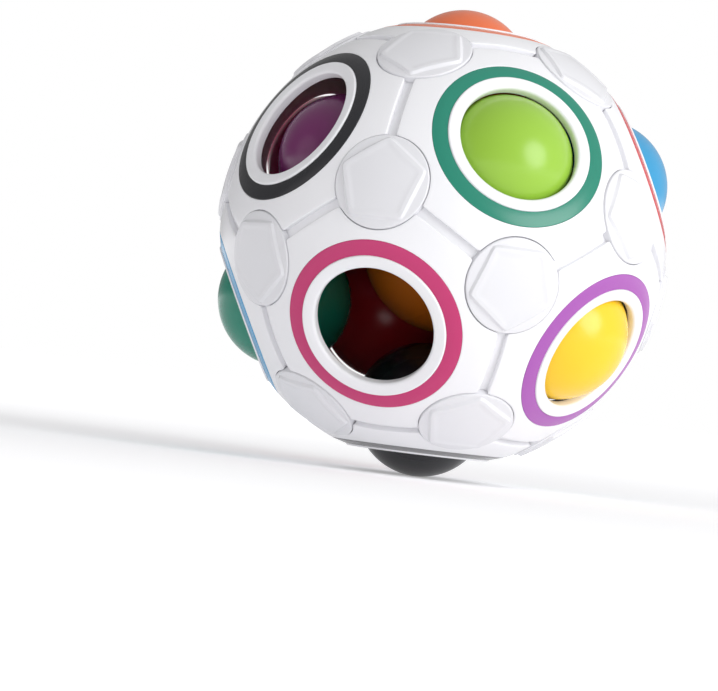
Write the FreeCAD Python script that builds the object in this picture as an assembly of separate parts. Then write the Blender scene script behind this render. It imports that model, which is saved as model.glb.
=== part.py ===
# Round sliding-ball puzzle. A hollow ball of twelve five-sided panels has a round hole in each panel,
# eleven loose balls that sit in the holes from inside, and one empty hole. Twenty round caps pin the
# corners where three panels meet. A large core ball floats in the middle and holds the loose balls out.
# Millimetres, +Z up, origin at the centre of the shell. The empty hole faces -Y and slightly down.
import FreeCAD, Part
import math
import os

V = FreeCAD.Vector

# Shell. Radii are measured from the centre of the puzzle.
SHELL_R = 35.0        # outer surface of the panels
SEAT_R = 34.1         # bottom of the slots and of the corner seats
INNER_R = 33.1        # inner surface, which the balls roll on
SLOT_WIDTH = 1.5      # between the outer faces of two neighbouring panels
EDGE_ROUND = 0.2      # rounding of the panels' outer edges

# Hole, lip and ring groove. Heights are along the hole's axis, from the centre of the puzzle.
HOLE_R = 9.3
HOLE_ROUND = 0.5      # rounded mouth of the hole
LIP_R = 11.3          # outer radius of the flat lip, and inner radius of the ring
LIP_HEIGHT = 33.2
LIP_ROUND = 0.15
RING_R = 13.55        # outer radius of the ring
RING_FLOOR = 31.9     # flat bottom of the ring's groove
RING_INNER_TOP = 32.95
RING_OUTER_TOP = 32.3

# Corner caps
CAP_R = 7.2
CAP_GAP = 0.1         # clearance around a cap in its seat
CAP_UNDER_R = 34.15   # underside, a hair above the seat
CAP_RIM_R = 35.2      # low rim of the disc
CAP_BOSS_R = 35.6     # top of the five-sided boss
BOSS_CORNER_R = 6.75  # centre to corner of the boss
PEG_R = 1.0
PEG_GAP = 0.02
PEG_REACH = 3.8       # cap's axis to a peg's axis
PEG_END_R = 33.3      # pegs stop short of the inner surface

# Balls
BALL_R = 10.5
BALL_SEAT = 26.34     # centre of a ball seated in its hole
ROLL_GAP = 0.1        # between a rolling ball and the inner surface
ROLL_R = INNER_R - BALL_R - ROLL_GAP
CORE_R = 13.4
CORE_SHIFT = 1.5      # how far the core gives way to the pressed ball

# Names, in the order of face_directions(): top, five upper, five lower, bottom
RING_NAMES = ["orange", "teal", "red", "yellow", "navy", "black",
              "lilac", "lime", "plum", "sky", "pink", "grey"]
BALL_NAMES = ["orange", "lime", "sky", "lilac", "pink", "plum",
              "yellow", "navy", "red", "teal", None, "black"]
PRESSED_BALL = "plum"

# Caps whose boss turns a side to a chosen panel. The others turn it to the first panel in their name.
BOSS_FACES = {"cap_teal_black_pink": "pink", "cap_black_sky_pink": "black",
              "cap_lilac_pink_grey": "grey", "cap_teal_lilac_pink": "teal"}

# Angles of a regular dodecahedron
FACE_TILT = math.atan(0.5)                                   # side faces above or below level
HALF_FACE_ANGLE = (math.pi / 2 - FACE_TILT) / 2              # face axis to the joint with its neighbour
CORNER_ANGLE = math.atan(math.tan(HALF_FACE_ANGLE) / math.cos(math.pi / 5))   # face axis to corner
FIFTH = 2 * math.pi / 5
UPPER_START = math.radians(-54)
LOWER_START = math.radians(-18)
NEIGHBOUR_COSINE = 0.4                                       # face axes closer than this are neighbours


def face_directions():
    """Outward axes of the twelve faces."""
    directions = [V(0, 0, 1)]
    for start, side in ((UPPER_START, 1), (LOWER_START, -1)):
        for step in range(5):
            turn = start + step * FIFTH
            level = math.cos(FACE_TILT)
            directions.append(V(level * math.cos(turn), level * math.sin(turn), side * math.sin(FACE_TILT)))
    directions.append(V(0, 0, -1))
    return directions


FACES = dict(zip(RING_NAMES, face_directions()))


def are_neighbours(first, second):
    """True for two ring names whose panels share a joint."""
    return FACES[first].dot(FACES[second]) > NEIGHBOUR_COSINE


def corner_triples():
    """The twenty sets of three ring names whose panels meet at a corner."""
    triples = []
    for i, first in enumerate(RING_NAMES):
        for j, second in enumerate(RING_NAMES[i + 1:], i + 1):
            for third in RING_NAMES[j + 1:]:
                pairs = ((first, second), (second, third), (first, third))
                if all(are_neighbours(*pair) for pair in pairs):
                    triples.append((first, second, third))
    return triples


def corner_direction(triple):
    """Outward axis of the corner where three panels meet."""
    total = V(0, 0, 0)
    for name in triple:
        total = total + FACES[name]
    return total.normalize()


def placement(axis, towards):
    """Placement that turns local +Z to axis and local +X to the side that faces towards."""
    across = towards - axis * towards.dot(axis)
    return FreeCAD.Placement(V(0, 0, 0), FreeCAD.Rotation(across, V(0, 0, 0), axis, "ZXY"))


def spun(points, arcs=()):
    """Solid of revolution about Z of a closed outline of (radius, height) points. Each entry of arcs is
    (index, middle point): the side that starts at that point is an arc through the middle point."""
    middles = dict(arcs)
    corners = [V(radius, 0, height) for radius, height in points]
    edges = []
    for index, start in enumerate(corners):
        end = corners[(index + 1) % len(corners)]
        if index in middles:
            radius, height = middles[index]
            edges.append(Part.Arc(start, V(radius, 0, height), end).toShape())
        else:
            edges.append(Part.makeLine(start, end))
    return Part.Face(Part.Wire(edges)).revolve(V(0, 0, 0), V(0, 0, 1), 360)


def quarter_middle(centre_radius, centre_height, radius, out, up):
    """Middle point of a quarter round about a centre, on its outward (out = 1) and upper (up = 1) side."""
    reach = radius * math.sqrt(0.5)
    return centre_radius + out * reach, centre_height + up * reach


def five_sided_cone(gap):
    """Cone about +Z, from below the panel to above it, whose sides stand gap inside the joint planes."""
    apex = gap / math.sin(HALF_FACE_ANGLE)
    wires = []
    for height in (INNER_R / 2, SHELL_R * 1.3):
        radius = height * math.tan(CORNER_ANGLE)
        points = [V(radius * math.cos(k * FIFTH), radius * math.sin(k * FIFTH), apex + height) for k in range(5)]
        wires.append(Part.makePolygon(points + points[:1]))
    return Part.makeLoft(wires, True, True)


def ball(radius):
    """Sphere whose poles lie on the Y axis, so that no pole falls in a hole."""
    sphere = Part.makeSphere(radius)
    sphere.rotate(V(0, 0, 0), V(1, 0, 0), 90)
    return sphere


def local_corner(index):
    """Axis of one of the five corners of the panel about +Z."""
    turn = index * FIFTH
    return V(math.sin(CORNER_ANGLE) * math.cos(turn), math.sin(CORNER_ANGLE) * math.sin(turn), math.cos(CORNER_ANGLE))


def corner_peg(index, radius):
    """Cylinder of a peg in one corner of the panel about +Z."""
    axis = local_corner(index)
    inward = (V(0, 0, 1) - axis * axis.z).normalize()
    return Part.makeCylinder(radius, SHELL_R, inward * PEG_REACH + axis * (INNER_R / 2), axis)


def is_outer_rim(edge):
    """True for an edge on the outer surface of the shell."""
    points = [vertex.Point.Length for vertex in edge.Vertexes]
    middle = edge.valueAt((edge.FirstParameter + edge.LastParameter) / 2).Length
    return all(abs(length - SHELL_R) < 0.01 for length in points + [middle])


def rim_rounded(solid):
    """The solid with the edges of its outer surface rounded."""
    edges = [edge for edge in solid.Edges if is_outer_rim(edge) and edge.Length > EDGE_ROUND]
    return solid.makeFillet(EDGE_ROUND, edges)


def panel():
    """One five-sided panel about +Z: a thin inner layer that meets its neighbours, an outer layer set back
    from them, corner seats, peg holes, and the hole with its lip and ring groove."""
    outer = ball(SHELL_R).common(five_sided_cone(SLOT_WIDTH / 2))
    for index in range(5):
        outer = outer.cut(Part.makeCylinder(CAP_R + CAP_GAP, 2 * SHELL_R, V(0, 0, 0), local_corner(index)))
    body = rim_rounded(outer).fuse(ball(SEAT_R).common(five_sided_cone(0)))
    body = body.fuse(Part.makeCylinder((LIP_R + RING_R) / 2, LIP_HEIGHT - INNER_R / 2, V(0, 0, INNER_R / 2)))
    body = body.cut(ball(INNER_R))
    for index in range(5):
        body = body.cut(corner_peg(index, PEG_R + PEG_GAP))
    body = body.cut(lip_and_groove_cutter())
    body = body.cut(hole_cutter())
    return body.removeSplitter()


def lip_and_groove_cutter():
    """What is cut from above to leave the flat lip and the groove round it."""
    top = 2 * SHELL_R
    outline = [(0, LIP_HEIGHT), (LIP_R - LIP_ROUND, LIP_HEIGHT), (LIP_R, LIP_HEIGHT - LIP_ROUND),
               (LIP_R, RING_FLOOR), (RING_R, RING_FLOOR), (RING_R, top), (0, top)]
    middle = quarter_middle(LIP_R - LIP_ROUND, LIP_HEIGHT - LIP_ROUND, LIP_ROUND, 1, 1)
    return spun(outline, [(1, middle)])


def hole_cutter():
    """The round hole with its rounded mouth."""
    outline = [(0, 0), (HOLE_R, 0), (HOLE_R, LIP_HEIGHT - HOLE_ROUND), (HOLE_R + HOLE_ROUND, LIP_HEIGHT),
               (HOLE_R + HOLE_ROUND, 2 * SHELL_R), (0, 2 * SHELL_R)]
    middle = quarter_middle(HOLE_R + HOLE_ROUND, LIP_HEIGHT - HOLE_ROUND, HOLE_ROUND, -1, 1)
    return spun(outline, [(2, middle)])


def ring():
    """Coloured ring about +Z, filling its groove, with a top that follows the shell."""
    return spun([(LIP_R, RING_FLOOR), (RING_R, RING_FLOOR), (RING_R, RING_OUTER_TOP), (LIP_R, RING_INNER_TOP)])


def cap():
    """Corner cap about +Z: a disc with a raised five-sided boss, one side of it towards +X, and three pegs."""
    disc = ball(CAP_RIM_R).common(Part.makeCylinder(CAP_R, 2 * SHELL_R))
    corners = []
    for index in range(6):
        turn = (index + 0.5) * FIFTH
        corners.append(V(BOSS_CORNER_R * math.cos(turn), BOSS_CORNER_R * math.sin(turn), INNER_R))
    prism = Part.Face(Part.makePolygon(corners)).extrude(V(0, 0, SHELL_R))
    body = disc.fuse(prism.common(ball(CAP_BOSS_R))).cut(ball(CAP_UNDER_R))
    for index in range(3):
        turn = index * 2 * math.pi / 3
        at = V(PEG_REACH * math.cos(turn), PEG_REACH * math.sin(turn), 0)
        top = (CAP_UNDER_R + CAP_RIM_R) / 2
        peg = Part.makeCylinder(PEG_R, top - 0.5 * INNER_R, at + V(0, 0, 0.5 * INNER_R))
        body = body.fuse(peg.cut(ball(PEG_END_R)))
    return body.removeSplitter()


def write(name, shape):
    """Check one piece and write it as parts/NAME.step."""
    if not shape.isValid() or not shape.isClosed() or len(shape.Solids) != 1:
        raise ValueError(f"{name} isn't one valid closed solid")
    shape.Solids[0].exportStep(f"parts/{name}.step")
    print(f"{name}: {shape.Volume:.0f} mm3")


def placed(shape, where):
    """A copy of the shape at a placement."""
    copy = shape.copy()
    copy.Placement = where.multiply(copy.Placement)
    return copy


def make_shell():
    """Panels, rings and caps."""
    one_panel = panel()
    one_ring = ring()
    one_cap = cap()
    triples = corner_triples()
    for name, axis in FACES.items():
        corner = next(corner_direction(triple) for triple in triples if name in triple)
        where = placement(axis, corner)
        write(f"panel_{name}", placed(one_panel, where))
        write(f"ring_{name}", placed(one_ring, where))
    for triple in triples:
        name = "cap_" + "_".join(triple)
        towards = FACES[BOSS_FACES.get(name, triple[0])]
        write(name, placed(one_cap, placement(corner_direction(triple), towards)))


def make_balls():
    """The loose balls, one of them pressed in, and the core that has given way to it."""
    for name, axis in zip(BALL_NAMES, FACES.values()):
        if name is None:
            continue
        reach = ROLL_R if name == PRESSED_BALL else BALL_SEAT
        write(f"ball_{name}", Part.makeSphere(BALL_R, axis * reach, axis))
        if name == PRESSED_BALL:
            write("core_ball", Part.makeSphere(CORE_R, axis * -CORE_SHIFT, axis))


os.makedirs("parts", exist_ok=True)
make_shell()
make_balls()
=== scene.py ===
"""Looks of a round sliding-ball puzzle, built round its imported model. Metres, +Z up.

A hollow white ball of twelve five-sided panels, each with a round hole in a coloured ring. Twenty round
caps cover the corners, eleven loose balls sit in the holes, and an amber core ball floats in the middle.
"""

import logging
import math
from dataclasses import dataclass
from enum import Enum
from itertools import combinations
from random import Random
from typing import Callable

import bmesh
import bpy
from mathutils import Euler, Matrix, Vector


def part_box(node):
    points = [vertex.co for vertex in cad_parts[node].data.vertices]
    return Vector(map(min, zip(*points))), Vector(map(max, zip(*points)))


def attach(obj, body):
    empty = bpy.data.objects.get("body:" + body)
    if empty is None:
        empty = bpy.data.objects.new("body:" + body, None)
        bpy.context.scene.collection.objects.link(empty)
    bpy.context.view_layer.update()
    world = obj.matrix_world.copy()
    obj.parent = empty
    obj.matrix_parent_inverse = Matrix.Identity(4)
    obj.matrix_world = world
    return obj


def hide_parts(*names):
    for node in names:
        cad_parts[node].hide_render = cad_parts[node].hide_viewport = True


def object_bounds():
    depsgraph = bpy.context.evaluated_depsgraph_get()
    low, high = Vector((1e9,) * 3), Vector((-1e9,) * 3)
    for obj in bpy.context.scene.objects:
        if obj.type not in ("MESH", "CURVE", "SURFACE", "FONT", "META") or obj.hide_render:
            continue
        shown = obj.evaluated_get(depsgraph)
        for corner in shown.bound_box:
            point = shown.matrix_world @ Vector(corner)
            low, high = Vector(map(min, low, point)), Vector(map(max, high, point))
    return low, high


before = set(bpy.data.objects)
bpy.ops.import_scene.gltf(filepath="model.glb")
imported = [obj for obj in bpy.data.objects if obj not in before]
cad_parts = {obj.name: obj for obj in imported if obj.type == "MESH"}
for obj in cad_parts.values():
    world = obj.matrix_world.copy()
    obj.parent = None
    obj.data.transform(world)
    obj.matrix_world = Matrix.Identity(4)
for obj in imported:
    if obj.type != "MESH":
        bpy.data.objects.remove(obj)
CAD_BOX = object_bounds()

MM = 0.001
HAIR = 0.01 * MM                    # less than any step between two surfaces
TINY_ANGLE = 1e-4
WELD = 0.0005 * MM                  # points nearer than this become one
SHARP_ANGLE = math.radians(38)      # edges that turn more than this stay crisp
LOG = logging.getLogger("ball_puzzle")
Outline = list[Vector]
Rule = Callable[[float, float, float], float]
Triple = tuple[float, float, float]
Colour = Triple


# ---------------------------------------------------------------------------------------------- finishes

def linear(red: int, green: int, blue: int) -> Colour:
    """A display colour of 0 to 255 as linear light."""
    shares = (value / 255 for value in (red, green, blue))
    return tuple(s / 12.92 if s <= 0.04045 else ((s + 0.055) / 1.055) ** 2.4 for s in shares)


class Hue(Enum):
    """Colours that the rings and the loose balls are moulded in."""

    ORANGE = linear(236, 116, 68)
    TEAL = linear(16, 124, 100)
    RED = linear(206, 38, 44)
    YELLOW = linear(252, 202, 22)
    NAVY = linear(40, 62, 146)
    BLACK = linear(36, 37, 42)
    LILAC = linear(164, 84, 176)
    LIME = linear(163, 201, 78)
    PLUM = linear(106, 30, 92)
    SKY = linear(38, 142, 184)
    PINK = linear(188, 36, 94)
    GREY = linear(112, 112, 116)


class Nodes:
    """Builds one material's node tree a node at a time."""

    WEAK = 0.3       # the part of a noise that is spread over a wanted range
    STRONG = 0.7

    def __init__(self, name: str) -> None:
        """Start an empty tree with a Principled shader wired to the output.

        Args:
            name: name of the new material.
        """
        self.material = bpy.data.materials.new(name)
        self.material.use_nodes = True
        self.tree = self.material.node_tree
        self.tree.nodes.clear()
        self.shader = self.add("ShaderNodeBsdfPrincipled")
        output = self.add("ShaderNodeOutputMaterial")
        self.join(self.shader, "BSDF", output, "Surface")
        self.place = self.add("ShaderNodeTexCoord")

    def add(self, kind: str, **inputs: object) -> bpy.types.Node:
        """Add a node and set its inputs.

        Args:
            kind: the node's type.
            inputs: value of each input, spaces in its name written as underscores.

        Returns:
            The new node.
        """
        node = self.tree.nodes.new(kind)
        for name, value in inputs.items():
            node.inputs[name.replace("_", " ")].default_value = value
        return node

    def join(self, source: bpy.types.Node, out: str | int,
             target: bpy.types.Node, into: str | int) -> None:
        """Wire one socket to another."""
        self.tree.links.new(source.outputs[out], target.inputs[into])

    def noise(self, scale: float, detail: float, stretch: Triple = (1, 1, 1)) -> bpy.types.Node:
        """Noise on the piece's own coordinates.

        Args:
            scale: features per metre.
            detail: how many finer octaves it has.
            stretch: how much denser it is along each axis.

        Returns:
            The noise node.
        """
        mapping = self.add("ShaderNodeMapping", Scale=stretch)
        self.join(self.place, "Object", mapping, "Vector")
        node = self.add("ShaderNodeTexNoise", Scale=scale, Detail=detail)
        self.join(mapping, "Vector", node, "Vector")
        return node

    def ranged(self, source: bpy.types.Node, low: float, high: float,
               target: bpy.types.Node, into: str) -> None:
        """Spread the middle of a noise over a range and wire it in.

        Args:
            source: the noise node.
            low: result where the noise is weak.
            high: result where the noise is strong.
            target: node that takes the result.
            into: name of its input.
        """
        node = self.add("ShaderNodeMapRange", From_Min=self.WEAK, From_Max=self.STRONG,
                        To_Min=low, To_Max=high)
        self.join(source, "Fac", node, "Value")
        self.join(node, "Result", target, into)


@dataclass(frozen=True)
class Plastic:
    """A moulded plastic with a slightly uneven gloss.

    Attributes:
        name: name of the material.
        colour: linear colour.
        roughness: middle of its range of roughness.
        patchiness: how much the roughness wanders.
        shade: how dark the deepest patches of the colour are, as a share of it.
        peel: height of the soft ripple that moulding leaves, in metres.
        coat: strength of the polished outer skin.
        clouds: patches of shade per metre.
        patches: patches of gloss per metre.
        scuffs: fine scuffs per metre, before they are stretched.
        ripples: moulding ripples per metre.
    """

    IOR = 1.5
    COAT_ROUGHNESS = 0.08
    SCUFF_SHARE = 0.45                # of the unevenness in the gloss; the patches make the rest
    SCUFF_STRETCH = (1.0, 9.0, 2.5)
    MILD = 0.35                       # the part of that unevenness that is spread over the gloss
    HARSH = 0.65

    name: str
    colour: Colour
    roughness: float = 0.26
    patchiness: float = 0.05
    shade: float = 0.94
    peel: float = 0.01 * MM
    coat: float = 0.0
    clouds: float = 70.0
    patches: float = 160.0
    scuffs: float = 300.0
    ripples: float = 420.0

    def material(self) -> bpy.types.Material:
        """The material, made once and shared by all pieces of this finish."""
        known = bpy.data.materials.get(self.name)
        return known or self.build()

    def build(self) -> bpy.types.Material:
        """Build the node tree: cloudy colour, patchy and scuffed gloss, and a soft moulding ripple.

        Returns:
            The new material.
        """
        nodes = Nodes(self.name)
        shader = nodes.shader
        clouds = nodes.noise(scale=self.clouds, detail=2)
        tint = nodes.add("ShaderNodeMix")
        tint.data_type = "RGBA"
        tint.inputs["A"].default_value = (*[part * self.shade for part in self.colour], 1)
        tint.inputs["B"].default_value = (*self.colour, 1)
        nodes.ranged(clouds, 0, 1, tint, "Factor")
        nodes.join(tint, "Result", shader, "Base Color")
        self.wear(nodes)
        ripple = nodes.noise(scale=self.ripples, detail=1)
        bump = nodes.add("ShaderNodeBump", Strength=1.0, Distance=self.peel)
        nodes.join(ripple, "Fac", bump, "Height")
        nodes.join(bump, "Normal", shader, "Normal")
        shader.inputs["IOR"].default_value = self.IOR
        if self.coat:
            shader.inputs["Coat Weight"].default_value = self.coat
            shader.inputs["Coat Roughness"].default_value = self.COAT_ROUGHNESS
        return nodes.material

    def wear(self, nodes: Nodes) -> None:
        """Patches and fine scuffs in the gloss, as handling leaves them.

        Args:
            nodes: the material's node tree.
        """
        patches = nodes.noise(scale=self.patches, detail=4)
        scuffs = nodes.noise(scale=self.scuffs, detail=6, stretch=self.SCUFF_STRETCH)
        both = nodes.add("ShaderNodeMath")
        both.operation = "MULTIPLY_ADD"
        both.inputs[1].default_value = self.SCUFF_SHARE
        nodes.join(scuffs, "Fac", both, 0)
        weakened = nodes.add("ShaderNodeMath")
        weakened.operation = "MULTIPLY"
        weakened.inputs[1].default_value = 1 - self.SCUFF_SHARE
        nodes.join(patches, "Fac", weakened, 0)
        nodes.join(weakened, "Value", both, 2)
        spread = nodes.add("ShaderNodeMapRange", From_Min=self.MILD, From_Max=self.HARSH,
                           To_Min=self.roughness - self.patchiness, To_Max=self.roughness + self.patchiness)
        nodes.join(both, "Value", spread, "Value")
        nodes.join(spread, "Result", nodes.shader, "Roughness")


WHITE_SHELL = Plastic("white_shell", linear(240, 239, 243), roughness=0.24, shade=0.965, coat=0.15)
WHITE_CAP = Plastic("white_cap", linear(236, 236, 240), roughness=0.27, shade=0.96, coat=0.1)
AMBER_CORE = Plastic("amber_core", linear(226, 118, 26), roughness=0.35, shade=0.9)


def ring_finish(hue: Hue) -> Plastic:
    """Finish of an inlaid ring: satin, a little rougher than the shell."""
    name = f"{hue.name.lower()}_ring"
    return Plastic(name, hue.value, roughness=0.32, shade=0.92, peel=0.006 * MM)


def ball_finish(hue: Hue) -> Plastic:
    """Finish of a loose ball: soft gloss with hand-rubbed patches."""
    name = f"{hue.name.lower()}_ball"
    return Plastic(name, hue.value, roughness=0.3, patchiness=0.06, shade=0.93)


# ---------------------------------------------------------------------------------------------- mesh work

def rounded_outline(corners: list[Triple], steps: int = 5, closed: bool = True) -> Outline:
    """Outline in the XZ plane whose corners are turned into arcs.

    Args:
        corners: (distance from the axis, height, rounding) of each corner, rounding 0 for a plain point.
        steps: points on each arc, less one.
        closed: whether the last corner runs on to the first.

    Returns:
        The outline's points in order.
    """
    spots = [Vector((x, 0, z)) for x, z, _ in corners]
    points = []
    for index, (spot, corner) in enumerate(zip(spots, corners)):
        radius = corner[2]
        at_end = not closed and index in (0, len(spots) - 1)
        if radius == 0 or at_end:
            points.append(spot)
            continue
        back = (spots[index - 1] - spot).normalized()
        ahead = (spots[(index + 1) % len(spots)] - spot).normalized()
        half = back.angle(ahead) / 2
        centre = spot + (back + ahead).normalized() * (radius / math.sin(half))
        start = (spot + back * (radius / math.tan(half)) - centre).normalized()
        end = (spot + ahead * (radius / math.tan(half)) - centre).normalized()
        points += [centre + radius * start.slerp(end, step / steps) for step in range(steps + 1)]
    return points


def out_and_up(radius: float, angle: float) -> tuple[float, float]:
    """Distance from the Z axis and height of a point on a sphere, at an angle from that axis."""
    return radius * math.sin(angle), radius * math.cos(angle)


def on_sphere(radius: float, angle: float) -> Vector:
    """Point on a sphere about the origin, in the XZ plane, at an angle from the Z axis."""
    out, up = out_and_up(radius, angle)
    return Vector((out, 0, up))


def arc_on_sphere(radius: float, start: float, end: float, steps: int) -> Outline:
    """Points on a sphere about the origin, in the XZ plane, between two angles from the Z axis."""
    return [on_sphere(radius, start + (end - start) * step / steps) for step in range(steps + 1)]


def spun(outline: Outline, steps: int, closed: bool = True) -> bmesh.types.BMesh:
    """Turn an outline once round the Z axis.

    Args:
        outline: points in the XZ plane. An open outline starts and ends on the axis.
        steps: how many facets the turn has.
        closed: whether the outline's last point joins its first.

    Returns:
        A closed mesh with its faces outwards.
    """
    mesh = bmesh.new()
    dots = [mesh.verts.new(point) for point in outline]
    lines = [mesh.edges.new(pair) for pair in zip(dots, dots[1:])]
    if closed:
        lines.append(mesh.edges.new((dots[-1], dots[0])))
    bmesh.ops.spin(mesh, geom=dots + lines, cent=(0, 0, 0), axis=(0, 0, 1), dvec=(0, 0, 0),
                   angle=math.tau, steps=steps, use_merge=True)
    bmesh.ops.remove_doubles(mesh, verts=mesh.verts, dist=WELD)
    bmesh.ops.recalc_face_normals(mesh, faces=mesh.faces)
    return mesh


def reshaped(mesh: bmesh.types.BMesh, rule: Rule) -> bmesh.types.BMesh:
    """Slide every point of a spun mesh over its own sphere.

    Args:
        mesh: the mesh, changed in place.
        rule: from a point's distance from the centre, its angle from the Z axis and its turn about that
            axis, the new angle from the Z axis.

    Returns:
        The same mesh.
    """
    for dot in mesh.verts:
        reach = dot.co.length
        angle = dot.co.angle(Vector((0, 0, 1)))
        turn = math.atan2(dot.co.y, dot.co.x)
        new = rule(reach, angle, turn)
        level = math.sin(new)
        dot.co = reach * Vector((level * math.cos(turn), level * math.sin(turn), math.cos(new)))
    return mesh


def finished(mesh: bmesh.types.BMesh, name: str, place: Matrix, finish: Plastic) -> bpy.types.Object:
    """Make an object of a copy of a mesh, moved to its place, smooth but for its sharp edges.

    Args:
        mesh: the mesh, about the origin.
        name: name of the new piece.
        place: where the copy goes.
        finish: its plastic.

    Returns:
        The new piece, its object at the origin.
    """
    data = bpy.data.meshes.new(name)
    mesh.to_mesh(data)
    data.transform(place)
    data.materials.append(finish.material())
    data.shade_smooth()
    data.set_sharp_from_angle(angle=SHARP_ANGLE)
    piece = bpy.data.objects.new(name, data)
    bpy.context.scene.collection.objects.link(piece)
    return piece


def standing_for(piece: bpy.types.Object, node: str, body: str) -> None:
    """Let a piece ride on its body in place of its CAD node.

    Args:
        piece: the new piece.
        node: CAD node that it replaces.
        body: body that it rides on.
    """
    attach(piece, body)
    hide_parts(node)
    LOG.info("%s: %d faces, rides on %s", piece.name, len(piece.data.polygons), body)


def joined(base: bmesh.types.BMesh, tool: bmesh.types.BMesh, operation: str) -> bmesh.types.BMesh:
    """Join two closed meshes.

    Args:
        base: the first mesh.
        tool: the mesh that is added to it or cut from it.
        operation: UNION or DIFFERENCE.

    Returns:
        The result as a new mesh.
    """
    objects = []
    for mesh in (base, tool):
        data = bpy.data.meshes.new("workshop")
        mesh.to_mesh(data)
        objects.append(bpy.data.objects.new("workshop", data))
        bpy.context.scene.collection.objects.link(objects[-1])
    modifier = objects[0].modifiers.new("join", "BOOLEAN")
    modifier.object = objects[1]
    modifier.operation = operation
    modifier.solver = "EXACT"
    evaluated = objects[0].evaluated_get(bpy.context.evaluated_depsgraph_get())
    result = bmesh.new()
    result.from_mesh(evaluated.to_mesh())
    for item in objects:
        bpy.data.objects.remove(item)
    return result


# ----------------------------------------------------------------------------------------------- layout

class Layout:
    """Where the faces and corners of the puzzle point, and the turns that carry pieces there."""

    RINGS = ("orange", "teal", "red", "yellow", "navy", "black",
             "lilac", "lime", "plum", "sky", "pink", "grey")     # top, five upper, five lower, bottom
    TILT = math.atan(0.5)                       # side faces above or below level
    HALF_ANGLE = (math.pi / 2 - TILT) / 2       # face axis to the joint with its neighbour
    CORNER_ANGLE = math.atan(math.tan(HALF_ANGLE) / math.cos(math.pi / 5))     # face axis to corner
    FIFTH = math.tau / 5
    UPPER_START = math.radians(-54)             # turn of the first upper face, and of the first lower one
    LOWER_START = math.radians(-18)
    NEAR = 0.4                                  # cosine between the axes of neighbours, at the least

    def __init__(self) -> None:
        """Work out the axes of the faces and corners."""
        axes = [Vector((0, 0, 1))]
        for start, side in ((self.UPPER_START, 1), (self.LOWER_START, -1)):
            for step in range(5):
                turn = start + step * self.FIFTH
                level = math.cos(self.TILT)
                height = side * math.sin(self.TILT)
                axes.append(Vector((level * math.cos(turn), level * math.sin(turn), height)))
        axes.append(Vector((0, 0, -1)))
        self.faces = dict(zip(self.RINGS, axes))
        self.corners = {trio: sum((self.faces[name] for name in trio), Vector()).normalized()
                        for trio in combinations(self.RINGS, 3) if self.meet(trio)}

    def meet(self, names: tuple[str, ...]) -> bool:
        """Whether the panels of these rings all touch each other."""
        return all(self.faces[a].dot(self.faces[b]) > self.NEAR for a, b in combinations(names, 2))

    def face_turn(self, name: str) -> Matrix:
        """Turn that carries local +Z to a face and local +X towards one of its corners."""
        corner = next(axis for trio, axis in self.corners.items() if name in trio)
        return self.turn(self.faces[name], corner)

    @staticmethod
    def turn(axis: Vector, towards: Vector) -> Matrix:
        """Turn that carries local +Z to axis and local +X to the side that faces towards."""
        across = (towards - axis * towards.dot(axis)).normalized()
        return Matrix((across, axis.cross(across), axis)).transposed().to_4x4()


# ----------------------------------------------------------------------------------------------- pieces

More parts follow.
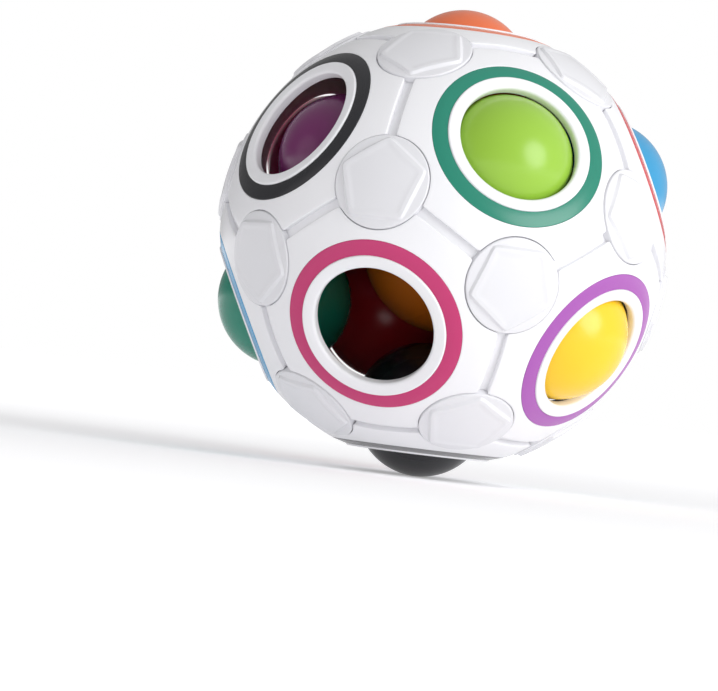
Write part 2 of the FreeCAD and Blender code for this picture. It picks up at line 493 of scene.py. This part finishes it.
@dataclass
class Panels:
    """The twelve white panels of the shell. Angles are from the axis of the panel's hole.

    A panel starts as a round blank, whose outer layer ends at plain_edge and whose seat ends at
    plain_joint. Both ends are then pushed out to the panel's five sides.
    """

    layout: Layout
    shell_r: float = 35.0 * MM
    seat_r: float = 34.1 * MM
    inner_r: float = 33.1 * MM
    slot_width: float = 1.5 * MM
    hole_r: float = 9.3 * MM
    lip_r: float = 11.3 * MM
    ring_r: float = 13.55 * MM
    ring_floor: float = 31.9 * MM
    hole_round: float = 0.5 * MM
    lip_round: float = 0.28 * MM
    groove_round: float = 0.08 * MM
    edge_round: float = 0.22 * MM
    cap_seat_r: float = 7.3 * MM
    peg_hole_r: float = 1.02 * MM
    peg_reach: float = 3.8 * MM
    plain_edge: float = math.radians(30)
    plain_joint: float = math.radians(34)
    facets: int = 360
    peg_facets: int = 24
    drill_length: float = 6 * MM
    corner_softness: float = 0.006
    land_margin: float = 0.004
    land_start: float = 0.012
    slope_run: float = 1.0 * MM
    slope_drop: float = 0.4 * MM

    def edge_angle(self, reach: float, turn: float) -> float:
        """Where the outer layer ends, at a slot or round a cap's seat.

        Args:
            reach: distance from the centre of the puzzle.
            turn: turn about the hole.

        Returns:
            The angle from the hole's axis.
        """
        slot = self.side_angle(reach, turn, self.slot_width / 2)
        bend = self.corner_turn(turn)
        seat = math.asin(self.cap_seat_r / reach)
        up, out = math.cos(Layout.CORNER_ANGLE), math.sin(Layout.CORNER_ANGLE) * math.cos(bend)
        ratio = math.cos(seat) / math.hypot(up, out)
        if ratio >= 1:
            return slot
        cap = math.atan2(out, up) - math.acos(ratio)
        soft = self.corner_softness
        return -soft * math.log(math.exp(-slot / soft) + math.exp(-cap / soft))

    def side_angle(self, reach: float, turn: float, gap: float) -> float:
        """Where a plane stands that is set back from the joint with the nearest neighbour.

        Args:
            reach: distance from the centre of the puzzle.
            turn: turn about the hole.
            gap: how far the plane is set back.

        Returns:
            The angle from the hole's axis.
        """
        bend = self.corner_turn(turn + Layout.FIFTH / 2)
        across = math.cos(bend) * math.cos(Layout.HALF_ANGLE)
        down = math.sin(Layout.HALF_ANGLE)
        return math.atan2(down, across) - math.asin(gap / (reach * math.hypot(across, down)))

    @staticmethod
    def corner_turn(turn: float) -> float:
        """Turn from the nearest corner, between minus and plus a tenth of a circle."""
        return (turn + Layout.FIFTH / 2) % Layout.FIFTH - Layout.FIFTH / 2

    def slide(self, reach: float, angle: float, turn: float) -> float:
        """Rule that pushes the round blank out to the five-sided outline of the panel.

        Args:
            reach: a point's distance from the centre of the puzzle.
            angle: its angle from the hole's axis.
            turn: its turn about the hole.

        Returns:
            Its new angle from the hole's axis.
        """
        land = math.asin(self.ring_r / self.shell_r) + self.land_margin
        if angle <= land:
            return angle
        joint = self.side_angle(reach, turn, 0)
        if reach < self.seat_r - HAIR and angle <= self.plain_joint + TINY_ANGLE:
            return land + (angle - land) * (joint - land) / (self.plain_joint - land)
        edge = self.edge_angle(reach, turn)
        if angle > self.plain_edge + TINY_ANGLE:
            beyond = angle - self.plain_edge
            return edge + beyond * (joint - edge) / (self.plain_joint - self.plain_edge)
        zone = 2 * self.edge_round / self.shell_r
        if angle > self.plain_edge - zone:
            return edge - (self.plain_edge - angle)
        return land + (angle - land) * (edge - zone - land) / (self.plain_edge - zone - land)

    def outline(self, lip_height: float) -> Outline:
        """Section of the round blank, from the mouth of the hole out to the joint and back underneath.

        Args:
            lip_height: height of the lip along the hole's axis.

        Returns:
            The closed outline's points in order.
        """
        inside = math.asin(self.hole_r / self.inner_r)
        rim = math.asin(self.ring_r / self.shell_r)
        top = self.shell_r * math.cos(rim)
        bottom = self.inner_r * math.cos(inside)
        lip = rounded_outline([
            (self.hole_r, bottom, 0),
            (self.hole_r, lip_height, self.hole_round),
            (self.lip_r, lip_height, self.lip_round),
            (self.lip_r, self.ring_floor, 0),
            (self.ring_r, self.ring_floor, 0),
            (self.ring_r, top, self.groove_round),
            (self.ring_r + self.slope_run, top - self.slope_drop, 0)])[:-1]
        fillet = self.edge_round / self.shell_r
        land = arc_on_sphere(self.shell_r, rim + self.land_start, self.plain_edge - fillet, steps=6)
        edge = []
        fillet_steps = 5
        for step in range(1, fillet_steps + 1):
            bend = step / fillet_steps * math.pi / 2
            angle = self.plain_edge - fillet * (1 - math.sin(bend))
            edge.append(on_sphere(self.shell_r - self.edge_round * (1 - math.cos(bend)), angle))
        floor = arc_on_sphere(self.seat_r, self.plain_edge, self.plain_joint, steps=4)
        under = arc_on_sphere(self.inner_r, self.plain_joint, inside, steps=14)[:-1]
        return lip + land + edge + floor + under

    def blank(self) -> bmesh.types.BMesh:
        """One panel about +Z, with its five peg holes.

        Returns:
            The panel's mesh.
        """
        lip_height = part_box("panel_orange")[1].z
        mesh = reshaped(spun(self.outline(lip_height), self.facets), self.slide)
        drills = bmesh.new()
        for index in range(5):
            place = self.peg_place(index)
            bmesh.ops.create_cone(drills, cap_ends=True, segments=self.peg_facets, radius1=self.peg_hole_r,
                                  radius2=self.peg_hole_r, depth=self.drill_length, matrix=place)
        return joined(mesh, drills, "DIFFERENCE")

    def peg_place(self, index: int) -> Matrix:
        """Place of the peg hole in one corner of the panel about +Z.

        Args:
            index: which corner, counted from +X.

        Returns:
            The place of the middle of the hole, its axis along local Z.
        """
        turn = index * Layout.FIFTH
        lean = math.sin(Layout.CORNER_ANGLE)
        axis = Vector((lean * math.cos(turn), lean * math.sin(turn), math.cos(Layout.CORNER_ANGLE)))
        inward = (Vector((0, 0, 1)) - axis * axis.z).normalized()
        middle = inward * self.peg_reach + axis * (self.inner_r + self.seat_r) / 2
        return Matrix.Translation(middle) @ axis.to_track_quat("Z", "Y").to_matrix().to_4x4()

    def build(self) -> None:
        """Make the twelve panels."""
        mesh = self.blank()
        for name in self.layout.RINGS:
            piece = finished(mesh, f"{name}_side_panel", self.layout.face_turn(name), WHITE_SHELL)
            standing_for(piece, f"panel_{name}", "shell")


@dataclass
class Rings:
    """The twelve coloured rings, inlaid round the holes."""

    layout: Layout
    panels: Panels
    inner_top: float = 32.95 * MM
    outer_top: float = 32.3 * MM
    rounding: float = 0.07 * MM
    play: float = 0.01 * MM
    facets: int = 256

    def blank(self) -> bmesh.types.BMesh:
        """One ring about +Z, a hair smaller than its groove.

        Returns:
            The ring's mesh.
        """
        inner = self.panels.lip_r + self.play
        outer = self.panels.ring_r - self.play
        floor = self.panels.ring_floor + self.play
        section = rounded_outline([
            (inner, floor, 0),
            (outer, floor, 0),
            (outer, self.outer_top, self.rounding),
            (inner, self.inner_top, self.rounding)], steps=3)
        return spun(section, self.facets)

    def build(self) -> None:
        """Make the twelve rings."""
        mesh = self.blank()
        for name in self.layout.RINGS:
            finish = ring_finish(Hue[name.upper()])
            piece = finished(mesh, f"{name}_inlaid_ring", self.layout.face_turn(name), finish)
            standing_for(piece, f"ring_{name}", "shell")


@dataclass
class Caps:
    """The twenty corner caps, each a disc with a raised five-sided boss and three pegs."""

    layout: Layout
    panels: Panels
    radius: float = 7.2 * MM
    under_r: float = 34.15 * MM
    rim_r: float = 35.2 * MM
    boss_r: float = 35.6 * MM
    boss_corner: float = 6.75 * MM
    plain_boss: float = 6.0 * MM
    dish: float = 0.06 * MM
    rim_round: float = 0.25 * MM
    peg_r: float = 1.0 * MM
    peg_end: float = 33.3 * MM
    peg_taper: float = 0.85
    ridge: float = 0.45 * MM
    slope_inside: float = 0.9 * MM
    slope_outside: float = 0.3 * MM
    rim_flat: float = 0.15 * MM
    corner_cut: float = 0.975
    bluntness: float = 0.12 * MM
    facets: int = 240

    TURNED = {("teal", "black", "pink"): "pink", ("black", "sky", "pink"): "black",
              ("lilac", "pink", "grey"): "grey", ("teal", "lilac", "pink"): "teal"}

    def boss_edge(self, turn: float) -> float:
        """Where the boss ends, one side of it facing +X and its corners a little blunted.

        Args:
            turn: turn about the cap's axis.

        Returns:
            The angle from the cap's axis.
        """
        side = self.boss_corner * math.cos(math.pi / 5)
        bend = (turn + Layout.FIFTH / 2) % Layout.FIFTH - Layout.FIFTH / 2
        reach = side / math.cos(bend)
        limit = self.boss_corner * self.corner_cut
        soft = self.bluntness
        lift = 50       # keeps both powers within range
        blunt = lift * soft - soft * math.log(math.exp(lift - reach / soft) + math.exp(lift - limit / soft))
        return math.asin(blunt / self.boss_r)

    def slide(self, reach: float, angle: float, turn: float) -> float:
        """Rule that pushes the round boss of the blank out to its five sides.

        Args:
            reach: a point's distance from the centre of the puzzle.
            angle: its angle from the cap's axis.
            turn: its turn about that axis.

        Returns:
            Its new angle from the cap's axis.
        """
        if reach < self.rim_r - 2 * HAIR:
            return angle
        plain = math.asin(self.plain_boss / self.boss_r)
        edge = self.boss_edge(turn)
        inside = self.slope_inside / self.boss_r
        outside = self.slope_outside / self.boss_r
        rim = math.asin((self.radius - self.rim_flat) / self.rim_r)
        if angle >= rim:
            return angle
        if angle < plain - inside:
            return angle * (edge - inside) / (plain - inside)
        if angle < plain + outside:
            return edge + angle - plain
        foot, start = plain + outside, edge + outside
        return start + (angle - foot) * (rim - start) / (rim - foot)

    def outline(self) -> Outline:
        """Section of the blank, from the middle of the boss over the rim and back underneath.

        The boss is a little dished, with a crest round it and a rounded slope down to the rim. Their places
        are counted in widths of the ridge from the edge of the boss.

        Returns:
            The open outline's points in order.
        """
        plain = math.asin(self.plain_boss / self.boss_r)
        ridge = self.ridge / self.boss_r
        top = arc_on_sphere(self.boss_r - self.dish, 0, plain - 2 * ridge, steps=8)
        top[0].x = 0
        crest = arc_on_sphere(self.boss_r, plain - 1.5 * ridge, plain - 0.6 * ridge, steps=2)
        rim_angle = math.asin(self.radius / self.rim_r)
        rim_top = self.rim_r * math.cos(rim_angle)
        rim_low = math.sqrt(self.under_r ** 2 - self.radius ** 2)
        slope = rounded_outline([
            (*out_and_up(self.boss_r, plain - 0.5 * ridge), 0),
            (*out_and_up(self.boss_r, plain), 0.2 * MM),
            (*out_and_up(self.rim_r, plain + 0.9 * ridge), 0.16 * MM),
            (*out_and_up(self.rim_r, plain + 1.4 * ridge), 0)], closed=False)
        shelf_end = rim_angle - self.rim_round * 1.3 / self.rim_r
        shelf = arc_on_sphere(self.rim_r, plain + 1.6 * ridge, shelf_end, steps=2)
        rim = rounded_outline([
            (*out_and_up(self.rim_r, rim_angle - self.rim_round * 1.2 / self.rim_r), 0),
            (self.radius, rim_top, self.rim_round * 0.8),
            (self.radius, rim_low, 0)], closed=False)
        under = arc_on_sphere(self.under_r, math.asin(self.radius / self.under_r), 0, steps=6)[1:]
        under[-1].x = 0
        return top + crest + slope + shelf + rim + under

    def blank(self) -> bmesh.types.BMesh:
        """One cap about +Z, with its pegs, one side of the boss facing +X.

        Returns:
            The cap's mesh.
        """
        mesh = reshaped(spun(self.outline(), self.facets, closed=False), self.slide)
        pegs = bmesh.new()
        top = (self.under_r + self.rim_r) / 2
        for index in range(3):
            turn = index * math.tau / 3
            reach = self.panels.peg_reach
            middle = Vector((reach * math.cos(turn), reach * math.sin(turn), (top + self.peg_end) / 2))
            bmesh.ops.create_cone(pegs, cap_ends=True, segments=self.panels.peg_facets,
                                  radius1=self.peg_r * self.peg_taper, radius2=self.peg_r,
                                  depth=top - self.peg_end, matrix=Matrix.Translation(middle))
        return joined(mesh, pegs, "UNION")

    def build(self) -> None:
        """Make the twenty caps."""
        mesh = self.blank()
        for trio, axis in self.layout.corners.items():
            towards = self.layout.faces[self.TURNED.get(trio, trio[0])]
            name = "_".join(trio)
            piece = finished(mesh, f"{name}_corner_cap", Layout.turn(axis, towards), WHITE_CAP)
            standing_for(piece, f"cap_{name}", "shell")


@dataclass
class Balls:
    """The eleven loose balls and the core, each with a mould seam and a sprue mark."""

    hues: tuple[Hue, ...] = (Hue.ORANGE, Hue.LIME, Hue.SKY, Hue.RED, Hue.PINK, Hue.PLUM,
                             Hue.YELLOW, Hue.NAVY, Hue.LILAC, Hue.TEAL, Hue.BLACK)
    seam_height: float = 0.03 * MM
    seam_width: float = 0.16 * MM
    sprue_r: float = 0.7 * MM
    sprue_depth: float = 0.12 * MM
    lean: float = math.radians(14)
    pit_rim: float = 0.55       # height of the sprue mark's wall, as a share of its depth
    pit_bowl: float = 0.86      # radii of the rounded and the flat part of its floor, as shares of its own
    pit_flat: float = 0.4
    rows: int = 40
    facets: int = 144
    seed: int = 11

    def blank(self, radius: float) -> bmesh.types.BMesh:
        """One ball about the origin, its seam level and its sprue mark below.

        Args:
            radius: the ball's radius.

        Returns:
            The ball's mesh.
        """
        seam = self.seam_width / radius
        level = math.pi / 2
        over = arc_on_sphere(radius, 0, level - 2 * seam, self.rows)
        over[0].x = 0
        ridge = arc_on_sphere(radius + self.seam_height, level - seam / 2, level + seam / 2, steps=2)
        mark = math.asin(self.sprue_r / radius)
        below = arc_on_sphere(radius, level + 2 * seam, math.pi - 1.15 * mark, self.rows)
        pit = radius * math.cos(mark) - self.sprue_depth
        bottom = [Vector((self.sprue_r, 0, -pit - self.sprue_depth * self.pit_rim)),
                  Vector((self.sprue_r * self.pit_bowl, 0, -pit)),
                  Vector((self.sprue_r * self.pit_flat, 0, -pit)),
                  Vector((0, 0, -pit))]
        return spun(over + ridge + below + bottom, self.facets, closed=False)

    def make(self, node: str, name: str, body: str, finish: Plastic, draw: Random) -> None:
        """Make one ball where its CAD node is, its sprue mark turned to the middle of the puzzle.

        Args:
            node: CAD node that gives its place and size.
            name: name of the new piece.
            body: body that it rides on.
            finish: its plastic.
            draw: source of its small lean.
        """
        low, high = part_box(node)
        centre = (low + high) / 2
        radius = max(high - low) / 2
        lean = Euler((draw.uniform(-self.lean, self.lean), draw.uniform(-self.lean, self.lean), 0))
        outward = centre.to_track_quat("Z", "Y").to_matrix().to_4x4()
        place = Matrix.Translation(centre) @ outward @ lean.to_matrix().to_4x4()
        piece = finished(self.blank(radius), name, place, finish)
        standing_for(piece, node, body)

    def build(self) -> None:
        """Make the loose balls, then the core."""
        draw = Random(self.seed)
        for hue in self.hues:
            name = hue.name.lower()
            body = slot = f"{name}_ball"
            self.make(f"ball_{name}", f"{name}_loose_ball", body, ball_finish(hue), draw)
        self.make("core_ball", "amber_core_ball", "core", AMBER_CORE, draw)


# ----------------------------------------------------------------------------------------------- studio

@dataclass
class Studio:
    """Plain pale floor, soft light and camera."""

    floor_r: float = 4.0
    floor_colour: Colour = linear(240, 240, 242)
    floor_glow: float = 0.26
    fade_start: float = 0.08
    fade_end: float = 0.9
    bright_side: Triple = (0.9, 0.1, 0.42)
    dimmest: float = 0.17
    brightest: float = 0.84
    key_place: Triple = (0.98, -0.38, 0.34)
    key_size: float = 0.75
    key_power: float = 6.4
    fill_place: Triple = (-0.9, -0.6, 0.15)
    fill_size: float = 0.8
    fill_power: float = 0.8
    fill_tint: Colour = (1.0, 0.93, 0.92)
    azimuth: float = math.radians(-18.33)
    elevation: float = math.radians(-0.67)
    roll: float = math.radians(6.9)
    distance: float = 0.5
    aim_left: float = 13.12 * MM
    aim_low: float = 16.06 * MM
    lens: float = 159.5
    sensor: float = 36.0

    def floor(self) -> None:
        """A wide pale disc that the lowest ball touches."""
        mesh = bmesh.new()
        bmesh.ops.create_circle(mesh, cap_ends=True, segments=96, radius=self.floor_r)
        data = bpy.data.meshes.new("floor")
        mesh.to_mesh(data)
        data.transform(Matrix.Translation((0, 0, CAD_BOX[0].z)))
        data.materials.append(self.floor_material())
        piece = bpy.data.objects.new("floor", data)
        bpy.context.scene.collection.objects.link(piece)

    def floor_material(self) -> bpy.types.Material:
        """Matt pale paper that fades out to the white of the room away from the puzzle.

        Returns:
            The new material.
        """
        nodes = Nodes("pale_floor")
        grain = nodes.noise(scale=40, detail=3)
        nodes.ranged(grain, 0.75, 0.85, nodes.shader, "Roughness")
        nodes.shader.inputs["Base Color"].default_value = (*self.floor_colour, 1)
        nodes.shader.inputs["Specular IOR Level"].default_value = 0.0
        nodes.shader.inputs["Emission Color"].default_value = (1, 1, 1, 1)
        reach = nodes.add("ShaderNodeVectorMath")
        reach.operation = "LENGTH"
        nodes.join(nodes.place, "Object", reach, 0)
        fade = nodes.add("ShaderNodeMapRange", From_Min=self.fade_start, From_Max=self.fade_end,
                         To_Min=self.floor_glow, To_Max=1.0)
        nodes.join(reach, "Value", fade, "Value")
        nodes.join(fade, "Result", nodes.shader, "Emission Strength")
        return nodes.material

    def softbox(self, name: str, place: Triple, size: float, power: float, tint: Colour = (1, 1, 1)) -> None:
        """Add a round light that faces the puzzle.

        Args:
            name: its name.
            place: where it stands.
            size: its width.
            power: its power in watts.
            tint: its colour.
        """
        stand = Vector(place)
        data = bpy.data.lights.new(name, "AREA")
        data.shape = "DISK"
        data.size = size
        data.energy = power
        data.color = tint
        lamp = bpy.data.objects.new(name, data)
        lamp.location = stand
        lamp.rotation_euler = (-stand).to_track_quat("-Z", "Y").to_euler()
        bpy.context.scene.collection.objects.link(lamp)

    def surroundings(self) -> None:
        """White surroundings whose light falls off from the bright side to the dim side."""
        world = bpy.data.worlds.new("white_room")
        world.use_nodes = True
        bpy.context.scene.world = world
        tree = world.node_tree
        tree.nodes.clear()
        place = tree.nodes.new("ShaderNodeTexCoord")
        along = tree.nodes.new("ShaderNodeVectorMath")
        along.operation = "DOT_PRODUCT"
        along.inputs[1].default_value = Vector(self.bright_side).normalized()
        spread = tree.nodes.new("ShaderNodeMapRange")
        spread.inputs["From Min"].default_value = -1
        spread.inputs["To Min"].default_value = self.dimmest
        spread.inputs["To Max"].default_value = self.brightest
        glow = tree.nodes.new("ShaderNodeBackground")
        backdrop = tree.nodes.new("ShaderNodeBackground")
        rays = tree.nodes.new("ShaderNodeLightPath")
        mix = tree.nodes.new("ShaderNodeMixShader")
        output = tree.nodes.new("ShaderNodeOutputWorld")
        tree.links.new(place.outputs["Generated"], along.inputs[0])
        tree.links.new(along.outputs["Value"], spread.inputs["Value"])
        tree.links.new(spread.outputs["Result"], glow.inputs["Strength"])
        glow.inputs["Color"].default_value = (1, 1, 1, 1)
        backdrop.inputs["Color"].default_value = (1, 1, 1, 1)
        tree.links.new(rays.outputs["Is Camera Ray"], mix.inputs["Fac"])
        tree.links.new(glow.outputs["Background"], mix.inputs[1])
        tree.links.new(backdrop.outputs["Background"], mix.inputs[2])
        tree.links.new(mix.outputs["Shader"], output.inputs["Surface"])

    def lights(self) -> None:
        """A large soft key light on the right and a weak fill from the left."""
        self.softbox("key_light", self.key_place, self.key_size, self.key_power)
        self.softbox("fill_light", self.fill_place, self.fill_size, self.fill_power, self.fill_tint)

    def camera(self) -> None:
        """Camera at the puzzle's own height, rolled a little, the puzzle above and right of its aim."""
        forward = Vector((math.sin(self.azimuth) * math.cos(self.elevation),
                          math.cos(self.azimuth) * math.cos(self.elevation), -math.sin(self.elevation)))
        turn = forward.to_track_quat("-Z", "Y").to_matrix() @ Matrix.Rotation(self.roll, 3, "Z")
        aim = turn @ Vector((-self.aim_left, -self.aim_low, 0))
        data = bpy.data.cameras.new("camera")
        data.lens = self.lens
        data.sensor_width = self.sensor
        data.clip_start = 0.01
        piece = bpy.data.objects.new("camera", data)
        piece.rotation_euler = turn.to_euler()
        piece.location = aim - forward * self.distance
        bpy.context.scene.collection.objects.link(piece)
        bpy.context.scene.camera = piece

    def build(self) -> None:
        """Set the stage."""
        bpy.context.scene.view_settings.view_transform = "Standard"
        self.floor()
        self.surroundings()
        self.lights()
        self.camera()


def main() -> None:
    """Build every sub-assembly."""
    logging.basicConfig(level=logging.INFO, format="%(message)s")
    layout = Layout()
    panels = Panels(layout)
    Studio().build()
    panels.build()
    Rings(layout, panels).build()
    Caps(layout, panels).build()
    Balls().build()


if __name__ == "__main__":
    main()
